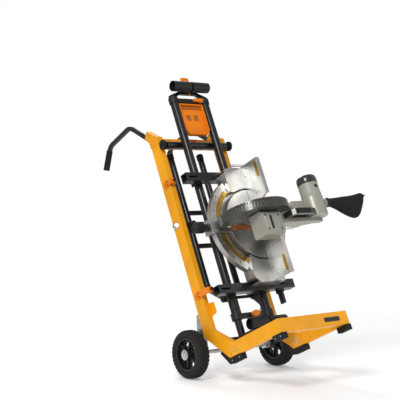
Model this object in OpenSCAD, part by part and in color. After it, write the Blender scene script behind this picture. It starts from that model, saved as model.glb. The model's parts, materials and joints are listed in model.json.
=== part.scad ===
// Mitre saw clamped upright on a folding hand-truck stand. Millimetres.
// X runs across the truck, -Y is the toe side, +Y the handle side, Z is up, the floor is Z = 0.

/* [Truck frame] */
// outer width over the two side tubes
frame_w = 432; // [340:1:520]
// height of the side tubes above the floor
frame_h = 1196; // [960:1:1440]
// side tube size across the truck
tube_x = 28; // [20:1:40]
// side tube size front to back
tube_y = 65; // [45:1:80]
// wall of every rectangular tube
tube_wall = 2.5; // [1.5:0.1:4]
// reach of the toe in front of the side tubes
toe_len = 446; // [330:1:560]
// height of the toe tube
toe_h = 63; // [45:1:80]
// thickness of the rubber feet
foot_h = 27; // [18:1:36]

/* [Wheels] */
// wheel diameter over the tread
wheel_d = 228.6; // [180:0.1:280]
// tyre width
wheel_w = 66; // [50:1:85]
// distance between the wheel middles
track = 553; // [480:1:660]
// axle diameter
axle_d = 20; // [14:1:26]

/* [Handles] */
// handle tube diameter
handle_d = 27; // [22:1:34]
// length of the rubber grip
grip_len = 104; // [80:1:140]

/* [Rails] */
// rail tube diameter
rail_d = 42; // [32:1:48]
// distance between the rail middles
rail_gap = 200; // [160:1:220]
// wall of the rail tubes
rail_wall = 3; // [2:0.1:5]
// roller diameter
roller_d = 54; // [40:1:58]
// roller length
roller_len = 224; // [190:1:240]

/* [Legs] */
// leg tube diameter
leg_d = 32; // [25:1:38]
// distance between the leg tube middles
leg_gap = 194; // [160:1:230]
// leg rung diameter
rung_d = 25; // [18:1:32]

/* [Saw] */
// blade diameter
blade_d = 305; // [255:1:320]
// length of the two fences together, end to end
fence_len = 594; // [500:1:700]
// height of the fences above the table
fence_h = 125; // [70:1:126]
// turntable diameter
table_d = 356; // [348:1:360]
// motor diameter
motor_d = 98; // [80:1:100]
// length of the dust bag behind its spout
bag_len = 178; // [130:1:220]

/* [Hidden] */
$fn = 64;
gap = 0.3;
run = 0.05;
half_w = frame_w / 2;
in_w = half_w - tube_x;
axle_y = tube_y + 60;
axle_z = wheel_d / 2;
toe_top = foot_h + toe_h;
bend_z = toe_top + 96;
t1_y = -22;
t1_z = frame_h - 56;
t1_r = 19;
t2_z = bend_z + 140;
piv_y = 43;
piv_z = (t1_z + t2_z) / 2;
piv_r = 10;
rail_x = rail_gap / 2;
rail_y = t1_y - t1_r - 3 - rail_d / 2;
rail_front = rail_y - rail_d / 2;
rail_top = frame_h + 184;
rail_low = t2_z - 120;
post_r = rail_d / 2 - rail_wall - 0.1;
roller_y = rail_y - 38;
roller_top_z = rail_top + 54;
low_y = rail_y - 87;
roller_low_z = rail_low - 51;
low_plate_z = roller_low_z - roller_d / 2 - 12;
leg_x = leg_gap / 2;
leg_y = 83;
leg_top = t1_z - 30;
mount_h = 44;
mount_d = 44;
mount_front = rail_front - mount_d;
saw_x = 75;
saw_base_h = 70;
saw_y = mount_front - saw_base_h;
saw_z = (rail_top + rail_low) / 2 - 158;
half_fence = fence_len / 2;
mount_up_z = saw_z + half_fence - 13;
mount_low_z = saw_z - half_fence + 4;
mount_x0 = -213;
mount_x1 = 268;
table_r = table_d / 2;
pit_r = table_r + 8;
shelf_r = 225;
rim_r = 256;
blade_r = blade_d / 2;
blade_y = -105;
blade_z = 105;
upper_r = blade_r + 10;
guard_r = blade_r + 19;
chop_y = 215;
chop_z = 135;
motor_y = 195;
motor_z = 215;
motor_x0 = -30;
motor_x1 = -105;
motor_x2 = -145;
boss_r = motor_d / 2 + 3;
upper_w = 17;
lower_w = 22;
spout_y = 305;
spout_z = 207;
bag_rise = 25;
bag_y = spout_y + bag_len * cos(bag_rise);
bag_z = spout_z + bag_len * sin(bag_rise);
bag_end_r = 17;
handle_bend = 60;
grip_r = 17;
hub_out = track / 2 + wheel_w / 2 + 8;
// the handle path: socket point, rise, bend, run, bend, grip
h_rise = 47;
h_run = -3;
h_drop = -48;
h_y0 = 62;
h_z0 = frame_h + 6;
h_len1 = 178;
h_len2 = 150;
h_y1 = h_y0 + h_len1 * cos(h_rise);
h_z1 = h_z0 + h_len1 * sin(h_rise);
h_y2 = h_y1 + handle_bend * (sin(h_rise) - sin(h_run));
h_z2 = h_z1 + handle_bend * (cos(h_run) - cos(h_rise));
h_y3 = h_y2 + h_len2 * cos(h_run);
h_z3 = h_z2 + h_len2 * sin(h_run);
h_y4 = h_y3 + handle_bend * (sin(h_run) - sin(h_drop));
h_z4 = h_z3 + handle_bend * (cos(h_drop) - cos(h_run));
h_y5 = h_y4 + grip_len * cos(h_drop);
// middle of the whole outline, so that the origin is under it
far_x = saw_x + bag_y + bag_end_r;
front_y = saw_y - bag_z - bag_end_r;
back_y = h_y5 + grip_r * cos(90 + h_drop);
mid_x = (far_x - hub_out) / 2;
mid_y = (front_y + back_y) / 2;

orange = [0.96, 0.55, 0.08];
black = [0.07, 0.07, 0.075];
rubber = [0.04, 0.04, 0.04];
steel = [0.7, 0.71, 0.72];
alloy = [0.78, 0.78, 0.76];
putty = [0.74, 0.73, 0.68];
smoke = [0.2, 0.2, 0.18];
brass = [0.75, 0.55, 0.15];

// ---- helpers ----
// a box from its low corner to its high corner
module box(a, b) translate(a) cube(b - a);
// a round bar along X
module bar_x(r, x0, x1, y, z) translate([x0, y, z]) rotate([0, 90, 0]) cylinder(r = r, h = x1 - x0);
// a round bar along Y
module bar_y(r, y0, y1, x, z) translate([x, y0, z]) rotate([-90, 0, 0]) cylinder(r = r, h = y1 - y0);
// a round bar along Z
module bar_z(r, z0, z1, x, y) translate([x, y, z0]) cylinder(r = r, h = z1 - z0);
// a flat plate whose outline lies in the Y-Z plane
module plate_yz(x0, x1, pts) translate([x0, 0, 0]) rotate([90, 0, 90]) linear_extrude(x1 - x0) polygon(pts);
// a flat plate whose outline lies in the X-Z plane
module plate_xz(y0, y1, pts) translate([0, y1, 0]) rotate([90, 0, 0]) linear_extrude(y1 - y0) polygon(pts);
// both sides of the truck
module both() for (s = [-1, 1]) scale_x(s) children();
module scale_x(s) mirror([s < 0 ? 1 : 0, 0, 0]) children();
// saw frame: x to the saw's right, y to its back, z up from the table
module saw() translate([saw_x, saw_y, saw_z]) rotate([90, 90, 0]) children();
// a pipe along +Z
module pipe(r, ri, h) difference() {
  cylinder(r = r, h = h);
  translate([0, 0, -1]) cylinder(r = ri, h = h + 2);
}
// a quarter-turn style bend that starts along +Z and turns towards +Y
module bend(r, ri, radius, a) translate([0, radius, 0]) rotate([90, 0, -90])
  rotate_extrude(angle = a) translate([radius, 0]) difference() {
    circle(r);
    if (ri > 0) circle(ri);
  }
module after_bend(radius, a) translate([0, radius - radius * cos(a), radius * sin(a)])
  rotate([-a, 0, 0]) children();
module hex(r, h) cylinder(r = r, h = h, $fn = 6);

// ---- truck frame ----
function side_points(t, top) = [
  [tube_y - t, top],
  [tube_y - t, bend_z - 16 + 0.4 * t],
  [-tube_y - 7 - 0.4 * t, foot_h + t],
  [-toe_len + t, foot_h + t],
  [-toe_len + t, toe_top - t],
  [-118 + 0.35 * t, toe_top - t],
  [t, bend_z - 0.35 * t],
  [t, top]];

module side_frame() color(orange) both() difference() {
  plate_yz(in_w, half_w, side_points(0, frame_h));
  plate_yz(in_w + tube_wall, half_w - tube_wall, side_points(tube_wall, frame_h + 1));
  bar_x(piv_r + run, in_w - 1, half_w + 1, piv_y, piv_z);
}

module toe_bar() color(orange) {
  difference() {
    box([-in_w, -toe_len, foot_h], [in_w, -toe_len + 30, toe_top]);
    box([-in_w - 1, -toe_len + tube_wall, foot_h + tube_wall],
      [in_w + 1, -toe_len + 31, toe_top - tube_wall]);
  }
  both() plate_yz(in_w - 4, in_w, [[-150, foot_h], [-96, foot_h], [-96, toe_top - 2],
    [-122, toe_top - 2], [-150, toe_top - 26]]);
}

module head_bar() color(orange) difference() {
  box([-in_w, 4, t1_z + 6], [in_w, 40, t1_z + 48]);
  box([-in_w - 1, 4 + tube_wall, t1_z + 6 + tube_wall], [in_w + 1, 41, t1_z + 48 - tube_wall]);
}

module tie_tube() color(black) translate([-in_w, -14, bend_z - 62]) rotate([0, 90, 0])
  pipe(12.5, 10.5, 2 * in_w);

module slide_bar() color(black) {
  translate([-in_w - 6, t1_y, t1_z]) rotate([0, 90, 0]) pipe(t1_r, t1_r - 2.5, 2 * in_w + 12);
  both() box([in_w + 6, t1_y - 6, t1_z - 14], [half_w - 8, 0, t1_z + 14]);
}

module slide_caps() color(rubber) both() difference() {
  translate([half_w - 8, t1_y - 3, t1_z]) rotate([0, 90, 0]) union() {
    cylinder(r = 22, h = 12);
    translate([0, 0, 2]) cylinder(r = 25, h = 8);
  }
  box([half_w - 9, 0, t1_z - 30], [half_w + 5, 30, t1_z + 30]);
  bar_x(8, half_w + 2, half_w + 5, t1_y - 3, t1_z);
}

module pivot_shaft() color(steel) {
  bar_x(piv_r, -half_w - 3, half_w + 3, piv_y, piv_z);
  both() translate([half_w + gap / 3, piv_y, piv_z]) rotate([0, 90, 0]) {
    cylinder(r = 19, h = 3);
    hex(15, 12);
    cylinder(r = 8, h = 18);
  }
}

module rubber_feet() color(rubber) both() {
  difference() {
    plate_yz(in_w - 3, half_w + 3, [[-64, 0], [-152, 0], [-152, foot_h], [-tube_y - 7, foot_h],
      [-28, foot_h + 45.5], [-19, foot_h + 37]]);
    for (i = [0:6]) box([in_w - 4, -148 + 12 * i, -1], [half_w + 4, -143 + 12 * i, 4]);
  }
  difference() {
    box([in_w - 2, -toe_len - 3, 0], [half_w + 3, -toe_len + 62, foot_h]);
    for (i = [0:4]) box([in_w - 4, -toe_len + 3 + 12 * i, -1], [half_w + 4, -toe_len + 8 + 12 * i, 4]);
  }
}

// ---- wheels ----
module axle() color(steel) {
  bar_x(axle_d / 2, -track / 2 - wheel_w / 2 + 2, track / 2 + wheel_w / 2 - 2, axle_y, axle_z);
  both() bar_x(axle_d / 2 + 5, half_w + 14, track / 2 - 31, axle_y, axle_z);
}

module axle_brackets() color(steel) both() {
  for (x = [in_w, half_w - 4]) difference() {
    plate_yz(x, x + 4, [[tube_y, bend_z + 100], [tube_y, bend_z + 4], [axle_y - 24, axle_z + 2],
      [axle_y - 14, axle_z - 18], [axle_y + 14, axle_z - 18], [axle_y + 22, axle_z + 4],
      [tube_y + 14, bend_z + 100]]);
    bar_x(axle_d / 2 + run, x - 1, x + 5, axle_y, axle_z);
  }
  difference() {
    bar_x(axle_d / 2 + 7, in_w + 4, half_w + 14, axle_y, axle_z);
    bar_x(axle_d / 2 + run, in_w, half_w + 15, axle_y, axle_z);
  }
  box([in_w + 4, tube_y, bend_z + 24], [half_w - 4, tube_y + 4, bend_z + 94]);
}

module wheel_at(s) translate([s * track / 2, axle_y, axle_z]) rotate([0, s * 90, 0]) children();

module tyre() difference() {
  rotate_extrude() polygon([[80, -wheel_w / 2 + 12], [axle_z - 22, -wheel_w / 2],
    [axle_z - 8, -wheel_w / 2 + 3], [axle_z - 2, -wheel_w / 2 + 12], [axle_z, -wheel_w / 2 + 20],
    [axle_z, wheel_w / 2 - 20], [axle_z - 2, wheel_w / 2 - 12], [axle_z - 8, wheel_w / 2 - 3],
    [axle_z - 22, wheel_w / 2], [80, wheel_w / 2 - 12]]);
  for (x = [-9, 9]) rotate_extrude() translate([axle_z - 5, x - 2]) square([6, 4]);
}

module rim() {
  difference() {
    cylinder(r = 79.7, h = wheel_w - 14, center = true);
    for (s = [-1, 1]) scale([1, 1, s]) translate([0, 0, 6]) cylinder(r = 70, h = wheel_w);
    for (i = [0:5]) rotate(60 * i) translate([48, 0, -10]) cylinder(r = 15, h = 20);
    cylinder(r = 12, h = wheel_w, center = true);
  }
  difference() {
    cylinder(r = 25, h = wheel_w - 6, center = true);
    cylinder(r = axle_d / 2 + run, h = wheel_w, center = true);
  }
  for (i = [0:5]) rotate(60 * i + 30) for (s = [-1, 1]) scale([1, 1, s])
    translate([22, -4, 5]) cube([50, 8, 9]);
}

module hub_cap() translate([0, 0, wheel_w / 2 - 3 + gap]) difference() {
  union() {
    cylinder(r = 24, h = 6);
    cylinder(r1 = 19, r2 = 15, h = 11);
  }
  translate([0, 0, -1]) cylinder(r = axle_d / 2 + 0.02, h = 6 - gap);
}

module tyre_near() color(rubber) wheel_at(-1) tyre();
module rim_near() color(black) wheel_at(-1) rim();
module tyre_far() color(rubber) wheel_at(1) tyre();
module rim_far() color(black) wheel_at(1) rim();
module hub_caps() color(steel) for (s = [-1, 1]) wheel_at(s) hub_cap();

// ---- handles ----
module handle_start() translate([half_w - tube_x / 2, h_y0, h_z0]) rotate([-90 + h_rise, 0, 0]) children();

module handle_sockets() color(orange) both() {
  difference() {
    plate_yz(in_w - 3, half_w + 3, [[-3, frame_h - 34], [-3, frame_h], [18, frame_h + 14],
      [64, frame_h + 62], [92, frame_h + 34], [tube_y + 3, frame_h - 2], [tube_y + 3, frame_h - 34]]);
    box([in_w - gap / 3, -gap / 3, frame_h - 35], [half_w + gap / 3, tube_y + gap / 3, frame_h + gap / 3]);
    handle_start() translate([0, 0, -30]) cylinder(r = handle_d / 2 + run, h = 120);
    box([in_w - 4, 3.9, t1_z + 5.9], [in_w, 40.1, t1_z + 48.1]);
  }
  for (p = [[20, -12], [48, -12], [52, 40]]) translate([half_w + 3, p[0], frame_h + p[1]])
    rotate([0, 90, 0]) {
      cylinder(r = 6.5, h = 1.5);
      hex(5, 4);
    }
}

module bead(r) translate([0, 0, -1.5]) cylinder(r = r + 0.5, h = 3);

module handle_tubes() color(black) both() handle_start() {
  r = handle_d / 2;
  cylinder(r = r, h = h_len1);
  translate([0, 0, h_len1]) {
    bead(r);
    bend(r, 0, handle_bend, h_rise - h_run);
    after_bend(handle_bend, h_rise - h_run) {
      bead(r);
      cylinder(r = r, h = h_len2);
      translate([0, 0, h_len2]) {
        bead(r);
        bend(r, 0, handle_bend, h_run - h_drop);
        after_bend(handle_bend, h_run - h_drop) {
          bead(r);
          cylinder(r = r, h = grip_len - 6);
        }
      }
    }
  }
}

module handle_grips() color(rubber) both() handle_start() translate([0, 0, h_len1])
  after_bend(handle_bend, h_rise - h_run) translate([0, 0, h_len2])
    after_bend(handle_bend, h_run - h_drop) difference() {
      union() {
        cylinder(r = grip_r - 1.5, h = grip_len);
        cylinder(r = grip_r, h = 5);
        translate([0, 0, grip_len - 8]) cylinder(r = grip_r, h = 8);
      }
      translate([0, 0, -1]) cylinder(r = handle_d / 2 + 0.02, h = grip_len - 4.98);
      translate([0, 0, -1]) cylinder(r = handle_d / 2 + 0.55, h = 2.6);
    }

// ---- latches on the side tubes ----
module latch(y, z, reach) translate([-half_w, y, z]) rotate([0, -90, 0]) difference() {
  union() {
    cylinder(r = 15, h = 9);
    translate([-15, -28 - reach, 0]) cube([30, 28 + reach, 9]);
    translate([-13, -48 - reach, -22]) cube([26, 20, 31]);
    translate([0, -48 - reach, -7]) rotate([90, 0, 0]) cylinder(r = 12, h = 6);
    cylinder(r = 6, h = 13);
  }
  translate([0, 0, 10]) cylinder(r = 3, h = 4, $fn = 6);
  translate([0, -27 - reach, -7]) rotate([90, 0, 0]) cylinder(r = 4 + run, h = 30);
}

latch_up_z = frame_h - 250;
latch_low_z = t2_z + 40;
low_reach = 42;
module latches() color(orange) {
  latch(26, latch_up_z, 0);
  latch(26, latch_low_z, low_reach);
}
module latch_pin(z, reach) translate([-half_w + 7, 26 - reach, z]) rotate([90, 0, 0]) {
  translate([0, 0, 32]) cylinder(r = 4, h = 26);
  translate([0, 0, 54 + gap]) cylinder(r = 8, h = 8);
}
module latch_pins() color(black) {
  latch_pin(latch_up_z, 0);
  latch_pin(latch_low_z, low_reach);
}

module latch_plates() color(orange) {
  for (z = [latch_up_z, latch_low_z]) box([-in_w, 12, z - 20], [-in_w + 3, 40, z + 20]);
  plate_yz(-in_w, -in_w + 3, [[4, t2_z - 8], [-36, t2_z - 14], [-36, t2_z - 66], [4, t2_z - 74]]);
  box([-in_w, 0, t2_z - 74], [-in_w + 3, 16, t2_z - 8]);
}

module release_tab() color(orange) {
  box([-22, 4 - 14, t1_z + 26], [22, 4 - gap, t1_z + 42]);
  plate_yz(-17, 17, [[-10, t1_z + 42], [-10, t1_z + 26], [-22, t1_z + 30], [-22, t1_z + 36]]);
}

// ---- folding legs ----
leg_bend = 60;
leg_turn = 50;
leg_reach = (leg_y - leg_bend + leg_bend * cos(leg_turn) - t1_y) / sin(leg_turn);
leg_low = t2_z + leg_reach * cos(leg_turn) + leg_bend * sin(leg_turn);

module leg_tubes() color(black) both() translate([leg_x, leg_y, leg_low])
  pipe(leg_d / 2, leg_d / 2 - 2.2, leg_top - leg_low);

module leg_hooks() color(black) both() difference() {
  union() {
    translate([leg_x, leg_y, leg_low]) rotate([180, 0, 0]) {
      bend(leg_d / 2, 0, leg_bend, leg_turn);
      after_bend(leg_bend, leg_turn) {
        bead(leg_d / 2);
        cylinder(r = leg_d / 2, h = leg_reach);
      }
    }
    bar_x(19, leg_x - 17, leg_x + 17, t1_y, t2_z);
  }
  bar_x(8 + run, leg_x - 20, leg_x + 20, t1_y, t2_z);
}

module leg_bars() color(black) difference() {
  union() {
    for (z = [piv_z + 82, piv_z - 96]) bar_x(rung_d / 2, -leg_x, leg_x, leg_y, z);
    bar_x(17, -in_w + 3, in_w - 3, piv_y, piv_z);
    both() box([leg_x - 10, piv_y, piv_z - 26], [leg_x + 10, leg_y, piv_z + 26]);
  }
  bar_x(piv_r + run, -in_w, in_w, piv_y, piv_z);
  both() bar_z(leg_d / 2 + 0.02, piv_z - 200, piv_z + 200, leg_x, leg_y);
}

leg_tube_r = leg_d / 2 - 2.3;
module leg_extension() color(steel) both() translate([leg_x, leg_y, leg_top - 380])
  pipe(leg_tube_r, leg_tube_r - 2, 400);

module leg_feet() color(rubber) both() translate([leg_x, leg_y, leg_top + 3]) difference() {
  union() {
    cylinder(r = leg_d / 2 + 2, h = 24);
    translate([0, 0, 24]) cylinder(r1 = leg_d / 2 + 2, r2 = leg_d / 2 - 3, h = 5);
  }
  translate([0, 0, -1]) cylinder(r = leg_tube_r, h = 18);
}

// ---- rails ----
module at_rails() both() translate([rail_x, rail_y, 0]) children();

module rails() color(black) at_rails() translate([0, 0, rail_low])
  pipe(rail_d / 2, rail_d / 2 - rail_wall, rail_top - rail_low);

module rail_end_low() color(black) difference() {
  union() {
    both() plate_yz(rail_x - rail_d / 2 - 8, leg_x - 17 - gap, [[rail_y - 8, rail_low],
      [rail_y - 8, t2_z + 34], [t1_y, t2_z + 16], [t1_y + 12, t2_z + 11], [t1_y + 16, t2_z],
      [t1_y + 12, t2_z - 11], [t1_y, t2_z - 16], [rail_y + 8, t2_z - 58], [rail_y + 8, rail_low]]);
    both() bar_z(rail_d / 2 + 6, rail_low - 4, rail_low + 30, rail_x, rail_y);
    box([-rail_x, rail_y - 10, rail_low + 2], [rail_x, rail_y + 14, rail_low + 26]);
    bar_x(8, -leg_x - 21, leg_x + 21, t1_y, t2_z);
    both() bar_x(13, leg_x + 17.3, leg_x + 21, t1_y, t2_z);
  }
  at_rails() translate([0, 0, rail_low]) cylinder(r = rail_d / 2 + 0.02, h = t2_z);
  at_rails() translate([0, 0, rail_low - 9]) cylinder(r = post_r + 0.3, h = 20);
  bar_y(7, rail_y - 11, rail_y + 3, 0, rail_low + 14);
}

module rail_end_top() color(black) difference() {
  union() {
    both() bar_z(rail_d / 2 + 4, rail_top - 26, rail_top + 3, rail_x, rail_y);
    box([-rail_x, rail_y - 12, rail_top - 22], [rail_x, rail_y + 14, rail_top]);
    bar_y(7, rail_y - 30, rail_y - 20, rail_x, rail_top - 12);
  }
  at_rails() translate([0, 0, rail_top - 30]) cylinder(r = rail_d / 2 + 0.02, h = 30);
  at_rails() translate([0, 0, rail_top - 1]) cylinder(r = post_r + 0.3, h = 5);
  bar_y(5, rail_y - 13, rail_y + 2, 62, rail_top - 11);
}

tray_w = rail_x - rail_d / 2 - 2;
tray_z0 = rail_top - 200;
tray_z1 = rail_top - 27;
module tray_face(i) polygon([[-tray_w + i, tray_z1 - i], [-tray_w + i, tray_z0 + 26 + i / 2],
  [-tray_w + 22 + i / 2, tray_z0 + i], [tray_w - 22 - i / 2, tray_z0 + i],
  [tray_w - i, tray_z0 + 26 + i / 2], [tray_w - i, tray_z1 - i]]);

module tray() color(orange) translate([0, rail_y + 15, 0]) rotate([90, 0, 0]) difference() {
  union() {
    linear_extrude(22) tray_face(0);
    for (z = [tray_z1 - 60, tray_z0 + 60]) translate([-tray_w - 2.05, z, 8]) cube([2 * tray_w + 4.1, 20, 5]);
  }
  translate([0, 0, 5]) linear_extrude(20) tray_face(6);
  for (x = [-38, 8]) translate([x, tray_z1 - 88, 2]) cube([30, 32, 10]);
}

// two half rollers on one shaft, with the bracket between them
module work_roller(y, z) both() difference() {
  bar_x(roller_d / 2, 5.6, roller_len / 2, y, z);
  bar_x(roller_d / 2 - 3, roller_len / 2 - 25, roller_len / 2 + 1, y, z);
  bar_x(6 + run, 5, roller_len, y, z);
}
module roller_shaft(y, z) {
  bar_x(6, -roller_len / 2 + 19, roller_len / 2 - 19, y, z);
  both() bar_x(9, roller_len / 2 - 24.6, roller_len / 2 - 19, y, z);
  bar_x(11, -5, 5, y, z);
}

// two posts that slide in the rails, joined over the top by a peaked frame
module extension_top() color(black) {
  difference() {
    union() {
      at_rails() translate([0, 0, rail_top - 330]) cylinder(r = post_r, h = 341);
      plate_xz(rail_y - 8, rail_y + 8, [[-rail_x - 19, rail_top + 4], [-rail_x - 19, rail_top + 17],
        [-56, rail_top + 42], [56, rail_top + 42], [rail_x + 19, rail_top + 17],
        [rail_x + 19, rail_top + 4], [rail_x - 8, rail_top + 4], [50, rail_top + 28],
        [-50, rail_top + 28], [-rail_x + 8, rail_top + 4]]);
    }
    at_rails() translate([0, 0, rail_top - 331]) cylinder(r = post_r - 2.5, h = 331);
    bar_z(9, rail_top + 26, rail_top + 44, knob_x, rail_y);
  }
  plate_yz(-5, 5, [[rail_y - 7, rail_top + 28.5], [rail_y - 7, rail_top + 41.5],
    [roller_y + 2, roller_top_z + 10], [roller_y - 8, roller_top_z - 6], [roller_y + 2, roller_top_z - 10]]);
  roller_shaft(roller_y, roller_top_z);
}

// two posts that slide in the rails, joined under them by a plate that reaches forward
module extension_low() color(black) {
  difference() {
    union() {
      at_rails() translate([0, 0, low_plate_z]) cylinder(r = post_r, h = rail_low + 330 - low_plate_z);
      box([-rail_x - 19, low_y - 12, low_plate_z], [rail_x + 19, rail_y + 19, low_plate_z + 10]);
    }
    at_rails() translate([0, 0, low_plate_z + 10]) cylinder(r = post_r - 2.5, h = rail_low + 331);
    both() box([14, low_y + 30, low_plate_z - 1], [rail_x - 24, rail_y - 4, low_plate_z + 11]);
  }
  plate_yz(-5, 5, [[low_y - 11, low_plate_z + 9], [low_y + 11, low_plate_z + 9],
    [low_y + 9, roller_low_z], [low_y - 9, roller_low_z]]);
  roller_shaft(low_y, roller_low_z);
}
module roller_top() color(black) work_roller(roller_y, roller_top_z);
module roller_low() color(black) work_roller(low_y, roller_low_z);

// a finger knob on a long stem that turns in the top carrier's frame, behind the roller
knob_x = 12;
module knob_top() color(orange) translate([knob_x, rail_y, rail_top + 27]) {
  cylinder(r = 8.95, h = 14);
  cylinder(r = 6, h = 72);
  translate([0, 0, 70]) cylinder(r = 13, h = 8);
  translate([-17, -7, 78]) cube([34, 14, 20]);
  for (x = [-17, 17]) translate([x, 0, 78]) cylinder(r = 7, h = 20);
}
module knob_low() color(orange) translate([0, rail_y - 10 - gap, rail_low + 14]) rotate([90, 0, 0]) {
  translate([0, 0, -12]) cylinder(r = 6.95, h = 13);
  cylinder(r = 13, h = 6);
  cylinder(r = 8, h = 12);
  translate([0, 0, 10]) scale([1.5, 1, 1]) cylinder(r = 15, h = 14);
}

module lever_top() color(orange) translate([62, rail_y - 12.3, rail_top - 11]) rotate([90, 0, 0]) {
  cylinder(r = 12, h = 12);
  translate([0, 0, -12]) cylinder(r = 4.95, h = 13);
  translate([-42, -8, 4]) cube([42, 16, 10]);
  translate([-42, 0, 4]) cylinder(r = 8, h = 10);
}

// ---- saw mounts ----
clamp_up_x = 150;
clamp_low_x = 181;
module mount(z, slots, cx) difference() {
  union() {
    difference() {
      box([mount_x0, mount_front, z - mount_h / 2], [mount_x1, rail_front - gap / 3, z + mount_h / 2]);
      box([mount_x0 - 1, mount_front + 4, z - mount_h / 2 + 4],
        [mount_x1 + 1, rail_front - 4, z + mount_h / 2 - 4]);
    }
    both() box([rail_x + rail_d / 2 + gap, rail_front - gap / 3 - 1, z - mount_h / 2],
      [rail_x + rail_d / 2 + 7, rail_y + rail_d / 2 - 3, z + mount_h / 2]);
    for (y = [mount_front, rail_front - 5 - gap / 3])
      box([cx - 9, y, z - mount_h / 2 - 17], [cx + 9, y + 5, z - mount_h / 2 + 1]);
  }
  bar_y(4 + run, mount_front - 1, rail_front + 1, cx, z - mount_h / 2 - 9);
  for (x = slots) {
    box([x - 22, mount_front - 1, z - 4.2], [x + 22, mount_front + 6, z + 4.2]);
    for (e = [-22, 22]) bar_y(4.2, mount_front - 1, mount_front + 6, x + e, z);
  }
}
module saw_mounts() color(black) {
  mount(mount_up_z, [-172, 30, 200], clamp_up_x);
  mount(mount_low_z, [-172, 30, 200], clamp_low_x);
}

// forked cam lever under a mount, hinged on a pin along Y
module clamp(x, z) translate([x, 0, z - mount_h / 2 - 9]) {
  bar_y(4, mount_front + 1, rail_front - 1, 0, 0);
  for (y = [mount_front + 8, rail_front - 18]) box([-7, y, -62], [7, y + 10, 0]);
  for (y = [mount_front + 8, rail_front - 18]) bar_y(8, y, y + 10, 0, 0);
  box([-7, mount_front + 8, -62], [7, rail_front - 8, -50]);
}
module clamp_upper() color(black) clamp(clamp_up_x, mount_up_z);
module clamp_lower() color(black) clamp(clamp_low_x, mount_low_z);

// ---- saw ----
wing_in = 168;
wing_f = -110;
wing_b = 75;
module sector(r, a0, a1, h) rotate(a0) rotate_extrude(angle = a1 - a0) square([r, h]);
module arc_ring(r0, r1, z0, z1, a) rotate(-90 - a) rotate_extrude(angle = 2 * a)
  translate([r0, z0]) square([r1 - r0, z1 - z0]);

module saw_base() color(alloy) saw() difference() {
  union() {
    // the two wings with their hollow undersides
    for (s = [-1, 1]) scale_x(s) difference() {
      box([wing_in, wing_f, -saw_base_h], [half_fence, wing_b, 0]);
      box([wing_in - 1, wing_f + 7, -saw_base_h - 1], [half_fence - 8, wing_b - 7, -9]);
      translate([half_fence, wing_f, -saw_base_h - 1]) rotate(45)
        translate([-20, -20, 0]) cube([40, 40, saw_base_h + 2]);
      translate([0, 0, -saw_base_h - 2]) cylinder(r = pit_r + 1, h = saw_base_h + 4);
    }
    for (a = [-33, 147]) rotate(a) rotate_extrude(angle = 57) translate([pit_r, -58]) square([8, 57]);
    // mounting feet at the ends
    for (s = [-1, 1]) scale_x(s) {
      translate([half_fence - 46, wing_f + 36, -saw_base_h]) cylinder(r = 24, h = saw_base_h - 4);
      translate([half_fence - 46, wing_b + 16, -saw_base_h]) cylinder(r = 24, h = 16);
    }
    // bearing ring, scale shelf and front rim
    rotate_extrude() polygon([[pit_r - 14, -60], [pit_r - 14, -36], [pit_r + 5, -36], [pit_r + 5, -60]]);
    rotate(-152) rotate_extrude(angle = 124) polygon([[pit_r + 2, -50], [pit_r + 2, -30], [shelf_r, -30],
      [shelf_r, -24], [rim_r, -24], [rim_r, -54], [shelf_r + 5, -54], [shelf_r + 5, -38],
      [pit_r + 12, -38], [pit_r + 12, -50]]);
    // rear bridge
    box([-wing_in - 20, 56, -saw_base_h], [wing_in + 20, wing_b, -44]);
  }
  for (a = [-140:10:-40]) rotate(a) translate([242, 0, -32]) cylinder(r = 3.5, h = 10, $fn = 16);
  for (s = [-1, 1], y = [wing_f + 36, wing_b + 16]) translate([s * (half_fence - 46), y, -saw_base_h - 1])
    cylinder(r = 4.5, h = 20);
  // the sliding rod's bore
  bar_x(5 + run, -half_fence - 1, -half_fence + 110, 58, -24);
}

module mitre_scale() color(brass) saw() arc_ring(196, shelf_r - 1, -30, -27, 57);

fence_in = 66;
module fence() difference() {
  union() {
    plate_xz(0, 14, [[fence_in, 1.5], [pit_r + 1, 1.5], [pit_r + 1, 0], [half_fence, 0],
      [half_fence, fence_h], [fence_in + 46, fence_h]]);
    box([pit_r + 4, 12, 0], [half_fence - 12, 60, 10]);
    for (x = [pit_r + 10, half_fence - 24]) plate_yz(x, x + 7, [[12, 8], [58, 8], [14, fence_h - 20]]);
    box([fence_in + 46, 12, fence_h - 8], [half_fence, 22, fence_h]);
  }
  for (p = [[half_fence - 22, 40], [half_fence - 60, 20], [fence_in + 70, 60], [half_fence - 14, fence_h - 40]])
    bar_y(3.5, -1, 16, p[0], p[1]);
  for (x = [pit_r + 30, half_fence - 40]) bar_z(4, -1, 12, x, 44);
}
module fence_left() color(alloy) saw() scale_x(-1) fence();
module fence_right() color(alloy) saw() fence();
module fence_strips() color(brass) saw() for (s = [-1, 1]) scale_x(s)
  box([half_fence - 92, -0.6, fence_h - 26], [half_fence - 14, -0.05, fence_h - 8]);

module side_rod() color(steel) saw() {
  bar_x(5, -half_fence - 24, -half_fence + 100, 58, -24);
  translate([-half_fence - 24, 58, -24]) sphere(r = 5);
  bar_y(5, -34, 58, -half_fence - 24, -24);
  bar_y(7, -34, -8, -half_fence - 24, -24);
}

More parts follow.
